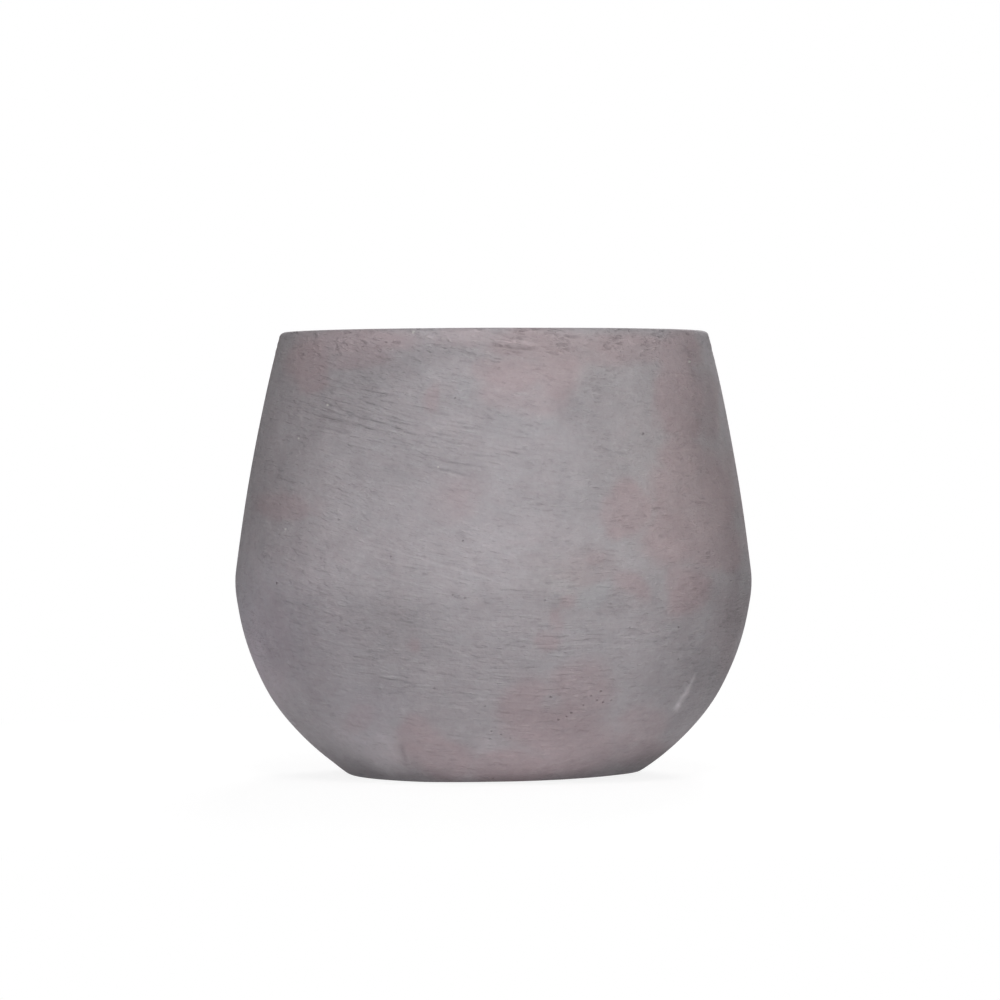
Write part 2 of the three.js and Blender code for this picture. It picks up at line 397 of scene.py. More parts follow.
class PlanterShellSizes(bpy.types.PropertyGroup):
    """Sizes of the cast shell. Its height and its belly's diameter come from the frame."""

    rim_diameter: length("Rim diameter", "Across the outside of the rim", 273)
    belly_height: length("Belly height", "Height of the widest ring above the shell's underside", 124.7)
    base_diameter: length("Base diameter", "Across the base, before its edge is rounded", 183.5)
    side_arc: length("Side arc", "Radius of the almost straight side", 1190)
    bowl_arc: length("Bowl arc", "Radius of the round lower half", 152)
    keel_round: length("Keel rounding", "Radius of the soft edge between side and bowl", 45)
    rim_outer_round: length("Rim outer rounding", "Radius of the rim's outer edge", 4)
    rim_inner_round: length("Rim inner rounding", "Radius of the rim's inner edge", 2.5)
    base_round_sharp: length("Sharp base rounding", "Radius of the base's edge where it is sharpest", 3)
    base_round_soft: length("Soft base rounding", "Radius of the base's edge where it is softest", 10)
    wall: length("Wall", "Thickness of the wall", 13)
    floor_thickness: length("Floor", "Thickness of the floor above the recess", 12)
    floor_fillet: length("Floor fillet", "Radius between the wall and the floor, inside", 30)
    recess_depth: length("Recess depth", "Depth of the recess that holds the feet", 4)
    recess_fillet: length("Recess fillet", "Radius in the recess's corner", 3)
    drain_diameter: length("Drain hole", "Diameter of the drain hole at the floor's top", 22)
    drain_draft: angle("Drain draft", "How much the drain hole narrows downwards", 2)
    drain_top_chamfer: length("Drain top chamfer", "Chamfer at the drain hole's upper edge", 1)
    drain_bottom_chamfer: length("Drain bottom chamfer", "Chamfer at the drain hole's lower edge", 1.5)
    columns: IntProperty(name="Columns", description="Faces round the shell", default=340, min=24)
    lean: angle("Lean", "How far the hand-made shell leans to the right", 0.12)
    rim_tilt: angle("Rim tilt", "How far the rim rises to the right", 0.19)
    base_tilt: angle("Base tilt", "How far the plane of the base rises to the right", 1.2)
    keel_swell: length("Keel swell", "How far the shell swells at the keel", 0.35)
    bowl_swell: length("Bowl swell", "How far the bowl swells above the base", 0.6)
    wobble: length("Wobble", "How far the hand-made wall strays from true", 0.5)
    ridge: length("Ridge", "Height of the slurry ridges under the rim", 0.35)
    pinhole_density: FloatProperty(
        name="Pinhole density", description="Random pinholes in each square metre", default=260, min=0
    )
    pinhole_least: length("Smallest pinhole", "Diameter of the smallest random pinhole", 0.9)
    pinhole_most: length("Largest pinhole", "Diameter of the largest random pinhole", 2)


class PlanterConcreteLook(bpy.types.PropertyGroup):
    """Colours and texture of the concrete."""

    grey: colour("Grey", "The cement skin's mauve-grey", (0.376, 0.349, 0.369))
    warm: colour("Pink-brown", "The clouds in the cement skin", (0.378, 0.311, 0.329))
    lime: colour("Lime", "Pale specks and worn edges", (0.58, 0.56, 0.54))
    bare: colour("Bare cement", "The inside, which was not brushed with slurry", (0.42, 0.393, 0.4))
    brush: share("Brush marks", "Strength of the brushed strokes", 0.22)
    grain: share("Grain", "Strength of the sand's grain", 0.2)
    mottle: share("Mottle", "Strength of the mottling", 0.36)
    dash_size: length("Dash size", "Size of the bristles' dashes", 7.5)
    stroke_size: length("Stroke size", "Size of the long strokes", 32)
    grain_size: length("Grain size", "Size of the grain", 2.2)
    mottle_size: length("Mottle size", "Size of the mottling", 18)
    roughness: share("Roughness", "Roughness of the concrete", 0.88)


class PlanterRubberLook(bpy.types.PropertyGroup):
    """Colours of the moulded rubber."""

    plug: colour("Plug", "The drain plug's rubber", (0.024, 0.023, 0.023))
    foot: colour("Feet", "The feet's rubber", (0.014, 0.014, 0.014))
    dust: colour("Dust", "Cement dust on the rubber", (0.19, 0.18, 0.175))


class PlanterPlugSizes(bpy.types.PropertyGroup):
    """Sizes of the drain plug. Its height and its flange's diameter come from the frame."""

    clearance: length("Clearance", "Between the plug and the hole", 0.3)
    flange_thickness: length("Flange thickness", "Of the flange that covers the hole", 3)
    flange_round: length("Flange rounding", "Radius of the flange's upper edge", 1)
    shank_wall: length("Shank wall", "Round the hollow in the shank's lower end", 5)
    core_roof: length("Core roof", "Rubber between that hollow and the flange", 4)
    rib_pitch: length("Rib pitch", "From one rib to the next", 4)
    rib_depth: length("Rib depth", "Of the ribs round the shank", 0.8)
    rib_height: length("Rib height", "Of the ribs round the shank", 2)
    neck_diameter: length("Neck diameter", "Of the neck under the knob", 9)
    neck_height: length("Neck height", "Of the neck under the knob", 4)
    neck_fillet: length("Neck fillet", "Radius at the neck's foot", 1.5)
    knob_overhang: length("Knob overhang", "Past the neck", 3)
    knob_round: length("Knob rounding", "Radius of the knob's edges", 2.2)
    columns: IntProperty(name="Columns", description="Faces round the plug", default=128, min=12)


class PlanterFootSizes(bpy.types.PropertyGroup):
    """Sizes of the rubber feet. Their diameter, height and place come from the frame."""

    edge_round: length("Edge rounding", "Radius of the foot's lower edge", 1)
    dish: length("Dish", "Hollow in the middle of the foot's sole", 0.35)
    columns: IntProperty(name="Columns", description="Faces round each foot", default=72, min=12)


class PlanterStudio(bpy.types.PropertyGroup):
    """The camera and the lights."""

    camera_distance: length("Camera distance", "From the planter's axis", 3284)
    camera_height: length("Camera height", "Above the ground", 218.4)
    camera_pitch: angle("Camera pitch", "How far the camera looks down", 0.749)
    camera_yaw: angle("Camera yaw", "How far the camera looks to the right", 0.077)
    lens: FloatProperty(name="Lens", description="Focal length in millimetres", default=184.7, min=1)
    high: watts("High softbox", "Power of the softbox high in front", 19)
    low: watts("Low softbox", "Power of the softbox low in front", 24)
    top: watts("Top softbox", "Power of the softbox straight above", 4)
    back: watts("Back softbox", "Power of the softbox behind", 42)
    bounce: watts("Floor bounce", "Power of the light that the pale floor sends up", 2.2)
    ambient: share("Ambient", "Light from all round", 0.08, 2.0)


# ---- node trees ----
class Tree:
    """A node tree, with short ways to add nodes to it and to join them."""

    def __init__(self, tree):
        self.tree = tree

    def add(self, kind, inputs=(), **settings):
        made = self.tree.nodes.new(kind)
        for name, value in settings.items():
            setattr(made, name, value)
        for name, value in dict(inputs).items():
            if isinstance(value, bpy.types.NodeSocket):
                self.link(value, made.inputs[name])
            else:
                made.inputs[name].default_value = value
        return made

    def first(self, kind, inputs=(), **settings):
        """The first output of a new node."""
        return self.add(kind, inputs, **settings).outputs[0]

    def link(self, value, socket):
        self.tree.links.new(value, socket)

    def maths(self, operation, *values):
        return self.first("ShaderNodeMath", enumerate(values), operation=operation)

    def plus(self, *values):
        return functools.reduce(functools.partial(self.maths, "ADD"), values)

    def times(self, *values):
        return functools.reduce(functools.partial(self.maths, "MULTIPLY"), values)

    def minus(self, value, taken):
        return self.maths("SUBTRACT", value, taken)

    def vectors(self, operation, *values):
        made = self.add("ShaderNodeVectorMath", enumerate(values), operation=operation)
        return made.outputs["Value" if operation in ("LENGTH", "DISTANCE", "DOT_PRODUCT") else "Vector"]

    def scaled(self, vector, scale):
        return self.first("ShaderNodeVectorMath", {0: vector, "Scale": scale}, operation="SCALE")

    def turned(self, vector, angle):
        """A vector turned about the Z axis."""
        inputs = {"Vector": vector, "Angle": angle}
        return self.first("ShaderNodeVectorRotate", inputs, rotation_type="Z_AXIS")

    def apart(self, vector):
        return self.add("ShaderNodeSeparateXYZ", {0: vector}).outputs[:]

    def together(self, x, y, z):
        return self.first("ShaderNodeCombineXYZ", {0: x, 1: y, 2: z})

    def between(self, value, low, high, start=0.0, end=1.0):
        """Start below low, end above high, and smooth in between."""
        inputs = {0: value, 1: low, 2: high, 3: start, 4: end}
        return self.first("ShaderNodeMapRange", inputs, interpolation_type="SMOOTHSTEP")

    def noise(self, place, size, detail=2.0, roughness=0.5):
        """Noise from 0 to 1 whose lumps are about one size across, in metres."""
        inputs = {"Vector": place, "Scale": 1 / size, "Detail": detail, "Roughness": roughness}
        return self.first("ShaderNodeTexNoise", inputs)

    def centred(self, value):
        """The same value, from -0.5 to 0.5 rather than from 0 to 1."""
        return self.minus(value, 0.5)

    def mix(self, factor, first, second):
        inputs = {0: factor, 6: first, 7: second}
        return self.add("ShaderNodeMix", inputs, data_type="RGBA", clamp_factor=False).outputs[2]


def new_socket(tree, label, kind, in_out="INPUT"):
    return tree.interface.new_socket(label, in_out=in_out, socket_type=f"NodeSocket{kind}")


def new_geometry_tree(name, sockets):
    """A new tree, its inputs and its outputs. Each socket is its name, its kind and maybe its default."""
    tree = bpy.data.node_groups.new(name, "GeometryNodeTree")
    for label, kind, *default in sockets:
        socket = new_socket(tree, label, kind)
        if default:
            socket.default_value = default[0]
    new_socket(tree, "Geometry", "Geometry", "OUTPUT")
    made = Tree(tree)
    return made, made.add("NodeGroupInput").outputs, made.add("NodeGroupOutput").inputs


def add_object(name, data):
    made = bpy.data.objects.new(name, data)
    bpy.context.scene.collection.objects.link(made)
    return made


def grow(name, start, tree, inputs):
    """An object whose plain mesh is what a geometry tree makes of the mesh that it starts from."""
    piece = add_object(name, start)
    modifier = piece.modifiers.new("Shape", "NODES")
    modifier.node_group = tree
    for socket in tree.interface.items_tree:
        if socket.name in inputs:
            modifier[socket.identifier] = inputs[socket.name]
    graph = bpy.context.evaluated_depsgraph_get()
    made = bpy.data.meshes.new_from_object(piece.evaluated_get(graph), depsgraph=graph)
    made.name = name
    piece.modifiers.clear()
    piece.data = made
    return piece


# ---- sections ----
def at(x, y):
    return Vector((x, y))


def arc(centre, radius, start, end, steps):
    """Points on a circle from one angle to another, without the first."""
    turns = [start + (end - start) * i / steps for i in range(1, steps + 1)]
    return [centre + radius * at(math.cos(turn), math.sin(turn)) for turn in turns]


def line(start, end, steps):
    """Points on a straight line, without the first."""
    return [start.lerp(end, i / steps) for i in range(1, steps + 1)]


def angle_to(start, end):
    return math.atan2(end.y - start.y, end.x - start.x)


def centre_touching(keel, keel_radius, radius, corner):
    """Centre of a circle that the keel's circle touches from inside, and that passes through a corner."""
    reach = radius - keel_radius
    span = (corner - keel).length
    along = (reach**2 - radius**2 + span**2) / (2 * span)
    aside = math.sqrt(reach**2 - along**2)
    unit = (corner - keel) / span
    middle = keel + along * unit
    crossings = [middle + sign * aside * at(-unit.y, unit.x) for sign in (1, -1)]
    return min(crossings, key=lambda place: place.x)


def rounding_centre(wall, reach, height):
    """Centre of a rounding at a height, and at a distance from the centre of the wall's arc."""
    return at(wall.x + math.sqrt(reach**2 - (height - wall.y) ** 2), height)


def section_mesh(name, points, soft=None):
    """A line of vertices in the X-Z plane, which may hold a second, softer place for each."""
    mesh = bpy.data.meshes.new(name)
    edges = [(i, i + 1) for i in range(len(points) - 1)]
    mesh.from_pydata([(p.x, 0.0, p.y) for p in points], edges, [])
    if soft:
        places = mesh.attributes.new("soft_place", "FLOAT_VECTOR", "POINT")
        places.data.foreach_set("vector", [value for p in soft for value in (p.x, 0.0, p.y)])
    return mesh


class ShellSection:
    """The shell's section: its arcs' centres, and its points up the outside and down the inside."""

    RIDGE_ZONE = 30 * MM  # under the rim, where the rows are closer
    KEEL_SWELL_DROP = 8 * MM  # from the keel's middle down to where it swells most
    KEEL_SWELL_REACH = 8 * MM
    BOWL_SWELL_HEIGHT = 46 * MM
    BOWL_SWELL_REACH = 17 * MM
    FOOT_TO_WALL = 7 * MM  # from a foot to the recess's wall

    def __init__(self, sizes, base_round):
        self.sizes = sizes
        self.base_round = base_round
        self.underside = shell_low.z
        self.rim_top = shell_high.z
        self.keel = at(shell_high.x - sizes.keel_round, self.underside + sizes.belly_height)
        corner = at(sizes.rim_diameter / 2, self.rim_top)
        self.side = centre_touching(self.keel, sizes.keel_round, sizes.side_arc, corner)
        corner = at(sizes.base_diameter / 2, self.underside)
        self.bowl = centre_touching(self.keel, sizes.keel_round, sizes.bowl_arc, corner)
        self.base = rounding_centre(self.bowl, sizes.bowl_arc - base_round, self.underside + base_round)
        self.recess_ceiling = self.underside + sizes.recess_depth
        self.floor_top = self.recess_ceiling + sizes.floor_thickness
        self.keel_top = angle_to(self.side, self.keel)
        self.keel_bottom = angle_to(self.bowl, self.keel)

    def outside(self):
        s = self.sizes
        base_end = angle_to(self.bowl, self.base)
        rim = rounding_centre(self.side, s.side_arc - s.rim_outer_round, self.rim_top - s.rim_outer_round)
        rim_start = angle_to(self.side, rim)
        ridges = math.asin((self.rim_top - self.RIDGE_ZONE - self.side.y) / s.side_arc)
        points = [
            at(self.base.x, self.underside),
            *arc(self.base, self.base_round, -math.pi / 2, base_end, 10),
            *arc(self.bowl, s.bowl_arc, base_end, self.keel_bottom, 54),
            *arc(self.keel, s.keel_round, self.keel_bottom, self.keel_top, 6),
            *arc(self.side, s.side_arc, self.keel_top, ridges, 46),
            *arc(self.side, s.side_arc, ridges, rim_start, 28),
            *arc(rim, s.rim_outer_round, rim_start, math.pi / 2, 7),
        ]
        for swell, middle, reach in (
            (s.keel_swell, self.keel.y - self.KEEL_SWELL_DROP, self.KEEL_SWELL_REACH),
            (s.bowl_swell, self.BOWL_SWELL_HEIGHT, self.BOWL_SWELL_REACH),
        ):
            for point in points:
                point.x += swell * math.exp(-(((point.y - middle) / reach) ** 2))
        return points

    def inside(self):
        s = self.sizes
        side_radius = s.side_arc - s.wall
        bowl_radius = s.bowl_arc - s.wall
        rim = rounding_centre(self.side, side_radius + s.rim_inner_round, self.rim_top - s.rim_inner_round)
        floor = rounding_centre(self.bowl, bowl_radius - s.floor_fillet, self.floor_top + s.floor_fillet)
        rim_end = angle_to(self.side, rim)
        drain_edge = at(s.drain_diameter / 2 + s.drain_top_chamfer, self.floor_top)
        return [
            at(rim.x, self.rim_top),
            *arc(rim, s.rim_inner_round, math.pi / 2, rim_end + math.pi, 4),
            *arc(self.side, side_radius, rim_end, self.keel_top, 22),
            *arc(self.keel, s.keel_round - s.wall, self.keel_top, self.keel_bottom, 3),
            *arc(self.bowl, bowl_radius, self.keel_bottom, angle_to(self.bowl, floor), 16),
            *arc(floor, s.floor_fillet, angle_to(self.bowl, floor), -math.pi / 2, 8),
            *line(at(floor.x, self.floor_top), drain_edge, 9),
        ]

    def underneath(self):
        s = self.sizes
        draft = math.tan(s.drain_draft)
        drain_head = at(s.drain_diameter / 2, self.floor_top - s.drain_top_chamfer)
        foot_height = self.recess_ceiling + s.drain_bottom_chamfer
        drain_foot = at(s.drain_diameter / 2 - (self.floor_top - foot_height) * draft, foot_height)
        # The recess is as wide as the feet's circle and their distance from its wall ask for.
        recess_edge = foot_high.x + self.FOOT_TO_WALL
        corner = at(recess_edge - s.recess_fillet, self.recess_ceiling - s.recess_fillet)
        chamfer_end = at(drain_foot.x + s.drain_bottom_chamfer, self.recess_ceiling)
        return [
            drain_head,
            *line(drain_head, drain_foot, 3),
            chamfer_end,
            *line(chamfer_end, at(corner.x, self.recess_ceiling), 6),
            *arc(corner, s.recess_fillet, math.pi / 2, 0, 4),
            *line(at(recess_edge, corner.y), at(recess_edge, self.underside), 1),
            *line(at(recess_edge, self.underside), at(self.base.x, self.underside), 3),
        ]

    def points(self):
        return self.outside() + self.inside() + self.underneath()


# ---- shared geometry trees ----
def revolve_tree():
    """Turns a line of vertices about the Z axis, and gives each vertex's row and turn as well."""
    sockets = [("Section", "Geometry"), ("Columns", "Int", 64)]
    t, given, result = new_geometry_tree("Turn Section", sockets)
    new_socket(t.tree, "Row", "Int", "OUTPUT")
    new_socket(t.tree, "Turn", "Float", "OUTPUT")
    size = t.add("GeometryNodeAttributeDomainSize", {0: given["Section"]}, component="MESH")
    rows = size.outputs["Point Count"]
    grid_inputs = {"Vertices X": t.plus(given["Columns"], 1), "Vertices Y": rows}
    grid = t.add("GeometryNodeMeshGrid", grid_inputs).outputs["Mesh"]
    index = t.first("GeometryNodeInputIndex")
    row = t.maths("MODULO", index, rows)
    column = t.maths("FLOOR", t.maths("DIVIDE", t.plus(index, 0.5), rows))
    around = t.times(t.maths("DIVIDE", column, given["Columns"]), math.tau)
    turn = t.plus(around, math.pi / 2)
    place = on_section(t, given["Section"], t.first("GeometryNodeInputPosition"), row)
    moved = t.first("GeometryNodeSetPosition", {"Geometry": grid, "Position": t.turned(place, turn)})
    for name, value in (("Geometry", moved), ("Row", row), ("Turn", turn)):
        t.link(value, result[name])
    return t.tree


def on_section(t, section, value, row):
    """A vector of the section's vertex in a row."""
    sample = {"Geometry": section, "Value": value, "Index": row}
    return t.first("GeometryNodeSampleIndex", sample, data_type="FLOAT_VECTOR")


def add_revolve(t, revolve, given):
    """The outputs of the turned section, inside another tree."""
    body = t.add("GeometryNodeGroup", node_tree=revolve)
    for label in ("Section", "Columns"):
        t.link(given[label], body.inputs[label])
    return body.outputs


def finish_mesh(t, geometry, material, sharp_degrees):
    """Joins the seam and the poles, shades smooth up to an angle, and gives the mesh its material."""
    closed = t.first("GeometryNodeMergeByDistance", {"Geometry": geometry, "Distance": 0.002 * MM})
    bend = t.add("GeometryNodeInputMeshEdgeAngle").outputs["Unsigned Angle"]
    sharp = t.maths("GREATER_THAN", bend, math.radians(sharp_degrees))
    smooth = t.first("GeometryNodeSetShadeSmooth", {"Geometry": closed})
    edges = {"Geometry": smooth, "Selection": sharp, "Shade Smooth": False}
    shaded = t.first("GeometryNodeSetShadeSmooth", edges, domain="EDGE")
    real = t.first("GeometryNodeRealizeInstances", {0: shaded})
    return t.first("GeometryNodeSetMaterial", {"Geometry": real, "Material": material})


def turned_tree(name, revolve, sharp_degrees, copies=None):
    """Turns a section, and may stand copies of it on a circle."""
    sockets = [("Section", "Geometry"), ("Columns", "Int", 64), ("Material", "Material")]
    if copies:
        sockets.append(("Circle Radius", "Float", 0.05))
    t, given, result = new_geometry_tree(name, sockets)
    geometry = add_revolve(t, revolve, given)["Geometry"]
    if copies:
        circle = t.first("GeometryNodeMeshCircle", {"Vertices": copies, "Radius": given["Circle Radius"]})
        spots = t.first("GeometryNodeMeshToPoints", {"Mesh": circle})
        stood = t.first("GeometryNodeInstanceOnPoints", {"Points": spots, "Instance": geometry})
        geometry = t.first("GeometryNodeRealizeInstances", {0: stood})
    t.link(finish_mesh(t, geometry, given["Material"], sharp_degrees), result["Geometry"])
    return t.tree


# ---- the shell ----
def shell_tree(revolve):
    """The cast shell: its section turned about the axis, with the unevenness of a hand-made casting."""
    numbers = ("Underside", "Rim Top", "Lean", "Rim Tilt", "Base Tilt", "Wobble", "Ridge")
    sockets = [
        ("Section", "Geometry"),
        ("Columns", "Int", 340),
        ("Material", "Material"),
        *[(label, "Float", 0.0) for label in numbers],
        ("Outside Rows", "Int", 150),
    ]
    t, given, result = new_geometry_tree("Cast Shell", sockets)
    body = add_revolve(t, revolve, given)
    row, turn = body["Row"], body["Turn"]

    # The base's edge is soft on the left and sharp on the right.
    soft = t.first("GeometryNodeInputNamedAttribute", {0: "soft_place"}, data_type="FLOAT_VECTOR")
    soft_turned = t.turned(on_section(t, given["Section"], soft, row), turn)
    place = t.first("GeometryNodeInputPosition")
    softness = t.between(t.maths("COSINE", turn), -0.9, 0.75, 1.0, 0.0)
    mixed = {"Factor": softness, 4: place, 5: soft_turned}
    edged = t.add("ShaderNodeMix", mixed, data_type="VECTOR").outputs[1]

    # The plane of the base rises to the right, where it cuts the bowl higher up. It sinks less than the
    # feet lift the shell.
    sink = 0.9 * MM
    x, y, z = t.apart(edged)
    tilted = t.times(x, t.maths("TANGENT", given["Base Tilt"]))
    low = t.maths("MAXIMUM", t.maths("MINIMUM", tilted, 0.0), -sink)
    lowered = t.plus(z, t.times(low, t.between(z, 1 * MM, 10 * MM, 1.0, 0.0)))
    plane = t.plus(t.maths("MAXIMUM", tilted, -sink), given["Underside"])
    z = t.maths("SMOOTH_MAX", lowered, plane, 0.5 * MM)

    # Lean, and tilt of the rim.
    tall = t.minus(given["Rim Top"], given["Underside"])
    rise = t.maths("DIVIDE", t.minus(z, given["Underside"]), tall)
    leaning = t.times(rise, tall, t.maths("TANGENT", given["Lean"]))
    tilting = t.times(x, rise, t.maths("TANGENT", given["Rim Tilt"]))
    warped = t.together(t.plus(x, leaning), y, t.plus(z, tilting))

    # Slow unevenness of the wall, none near the floor, where the plug and the feet fit.
    lump = 95 * MM
    slow = {"Vector": place, "Scale": 1 / lump, "Detail": 1.0}
    drift = t.vectors("SUBTRACT", t.add("ShaderNodeTexNoise", slow).outputs["Color"], (0.5, 0.5, 0.5))
    drifted = t.scaled(drift, t.times(t.between(z, 15 * MM, 60 * MM), t.times(given["Wobble"], 2.0)))
    warped = t.vectors("ADD", warped, t.vectors("MULTIPLY", drifted, (1.0, 1.0, 0.3)))

    # Ridges of slurry under the rim, on the outside alone.
    squashed = t.vectors("MULTIPLY", place, (1.0, 1.0, 14.0))
    ridges = t.centred(t.noise(squashed, 34 * MM, detail=1.5, roughness=0.6))
    zone = t.between(z, t.minus(given["Rim Top"], 26 * MM), t.minus(given["Rim Top"], 12 * MM))
    outside = t.maths("LESS_THAN", row, given["Outside Rows"])
    height = t.times(ridges, t.times(given["Ridge"], 2.0), zone, outside)
    outward = t.vectors("NORMALIZE", t.together(x, y, 0.0))
    warped = t.vectors("ADD", warped, t.scaled(outward, height))

    moved = t.first("GeometryNodeSetPosition", {"Geometry": body["Geometry"], "Position": warped})
    t.link(finish_mesh(t, moved, given["Material"], sharp_degrees=50), result["Geometry"])
    return t.tree


def pinhole_tree():
    """Cuts pinholes into a mesh: at given spots, and at random spots away from the front."""
    sockets = [
        ("Shell", "Geometry"),
        ("Spots", "Object"),
        ("Density", "Float", 100.0),
        ("Least Diameter", "Float", 0.001),
        ("Most Diameter", "Float", 0.002),
        ("Material", "Material"),
        ("Seed", "Int", 3),
    ]
    t, given, result = new_geometry_tree("Pinholes", sockets)
    chosen = t.add("GeometryNodeObjectInfo", {"Object": given["Spots"]}).outputs["Geometry"]
    chosen_points = t.first("GeometryNodeMeshToPoints", {"Mesh": chosen})

    # Random ones: on walls, at the sides and back of the outside and all round the inside.
    place, normal = t.first("GeometryNodeInputPosition"), t.first("GeometryNodeInputNormal")
    upright = t.maths("LESS_THAN", t.maths("ABSOLUTE", t.apart(normal)[2]), 0.9)
    away = t.maths("GREATER_THAN", t.apart(place)[1], -20 * MM)
    inner = t.maths("LESS_THAN", t.vectors("DOT_PRODUCT", place, normal), 0.0)
    where = t.times(upright, t.maths("MAXIMUM", away, inner))
    spread = {"Mesh": given["Shell"], "Selection": where, "Density": given["Density"], "Seed": given["Seed"]}
    random_spots = t.add("GeometryNodeDistributePointsOnFaces", spread)
    draw = {2: given["Least Diameter"], 3: given["Most Diameter"], "Seed": given["Seed"]}
    random_size = t.add("FunctionNodeRandomValue", draw, data_type="FLOAT").outputs[1]
    named = {"Geometry": random_spots.outputs["Points"], "Name": "diameter", "Value": random_size}
    random_sized = t.first("GeometryNodeStoreNamedAttribute", named, data_type="FLOAT")
    spots = t.add("GeometryNodeJoinGeometry")
    for points in (chosen_points, random_sized):
        t.link(points, spots.inputs[0])

    size = t.first("GeometryNodeInputNamedAttribute", {0: "diameter"}, data_type="FLOAT")
    bubble = t.first("GeometryNodeMeshIcoSphere", {"Radius": 0.5, "Subdivisions": 3})
    draw = {0: (0.85, 0.85, 0.7), 1: (1.2, 1.2, 1.0), "Seed": given["Seed"]}
    stretch = t.first("FunctionNodeRandomValue", draw, data_type="FLOAT_VECTOR")
    placed = {"Points": spots.outputs[0], "Instance": bubble, "Scale": t.scaled(stretch, size)}
    bubbles = t.first("GeometryNodeInstanceOnPoints", placed)
    cutters = t.first("GeometryNodeRealizeInstances", {0: bubbles})
    cut = t.add("GeometryNodeMeshBoolean", operation="DIFFERENCE", solver="MANIFOLD")
    t.link(given["Shell"], cut.inputs[0])
    t.link(cutters, cut.inputs[1])
    t.link(finish_mesh(t, cut.outputs[0], given["Material"], sharp_degrees=50), result["Geometry"])
    return t.tree


def pinhole_spots(surface):
    """One vertex for each chosen pinhole, a little under the surface of the front, with its diameter."""
    depth = 0.22  # of the diameter
    mesh = bpy.data.meshes.new("pinhole_spots")
    places = []
    for across, up, diameter in PINHOLES:
        start = Vector((across * MM, -1.0, up * MM))
        place, normal, _, _ = surface.ray_cast(start, Vector((0, 1, 0)))
        places.append(place - normal * diameter * MM * depth)
    mesh.from_pydata(places, [], [])
    sizes = mesh.attributes.new("diameter", "FLOAT", "POINT")
    sizes.data.foreach_set("value", [hole[2] * MM for hole in PINHOLES])
    return bpy.data.objects.new("pinhole_spots", mesh)


def ellipses(x, z, rows):
    """For each row, its last value, and how far each place is from its ellipse, where 1 is the edge."""
    for across, up, half_width, half_height, tilt, value in rows:
        turn = math.radians(tilt)
        dx, dz = x - across * MM, z - up * MM
        along = (dx * math.cos(turn) + dz * math.sin(turn)) / (half_width * MM)
        over = (-dx * math.sin(turn) + dz * math.cos(turn)) / (half_height * MM)
        yield value, np.sqrt(along**2 + over**2)


def smoothstep(low, high, value):
    t = np.clip((value - low) / (high - low), 0, 1)
    return t * t * (3 - 2 * t)


def paint_clouds(mesh, section):
    """Writes what the concrete's material reads for each vertex, such as how warm and bare it is, and how
    much lighter or darker, which is partly the concrete's own tone and partly painted light and shade.
    """
    places = np.empty(len(mesh.vertices) * 3, dtype=np.float32)
    mesh.vertices.foreach_get("co", places)
    x, y, z = places.reshape(-1, 3).T.astype(float)

    # The outlines of the lists' ellipses wander by a few millimetres.
    lump_size, sideways, upwards, apart = 32 * MM, 7 * MM, 5 * MM, Vector((7, 3, 5))
    lumps = [Vector(place) / lump_size for place in places.reshape(-1, 3)]
    across = x + np.array([noise.noise(lump) for lump in lumps]) * sideways
    up = z + np.array([noise.noise(lump + apart) for lump in lumps]) * upwards

    warm, cool, brushed = np.zeros((3, len(x)))
    for warmth, away in ellipses(across, up, CLOUDS):
        cloud = warmth * (1 - smoothstep(0.6, 1.25, away))
        warm = np.maximum(warm, cloud)
        cool = np.minimum(cool, cloud)
    for strength, away in ellipses(across, up, BRUSHED):
        brushed = np.maximum(brushed, strength * (1 - smoothstep(0.4, 1.3, away)))
    violet = sum(bluer * np.exp(-(away**2)) for bluer, away in ellipses(across, up, LEANINGS))
    tone_and_painted_light = sum(lighter / 100 * np.exp(-(away**2)) for lighter, away in ellipses(across, up, TONES_AND_PAINTED_LIGHT))

    outside = section.outside()
    wall_radius = np.interp(z, [p.y for p in outside], [p.x for p in outside])
    bare = smoothstep(0.3, 0.6, (wall_radius - np.hypot(x, y)) / section.sizes.wall)
    bare[z < section.recess_ceiling + 1 * MM] = 0
    front = smoothstep(0.0, 25 * MM, -y) * (1 - bare)
    for name, values in (
        ("warm", warm + cool),
        ("tone_and_painted_light", tone_and_painted_light),
        ("brushed", brushed),
        ("violet", violet),
        ("front", front),
        ("bare", bare),
    ):
        made = mesh.attributes.new(name, "FLOAT", "POINT")
        made.data.foreach_set("value", values.astype(np.float32))


# ---- materials ----
def empty_tree(owner, output):
    """The tree of a material or a world with its output alone, and the output's socket."""
    owner.use_nodes = True
    owner.node_tree.nodes.clear()
    t = Tree(owner.node_tree)
    return t, t.add(output).inputs["Surface"]


def principled_material(name):
    """A material, its tree, and its Principled shader."""
    material = bpy.data.materials.new(name)
    t, surface = empty_tree(material, "ShaderNodeOutputMaterial")
    shader = t.add("ShaderNodeBsdfPrincipled")
    t.link(shader.outputs[0], surface)
    return material, t, shader


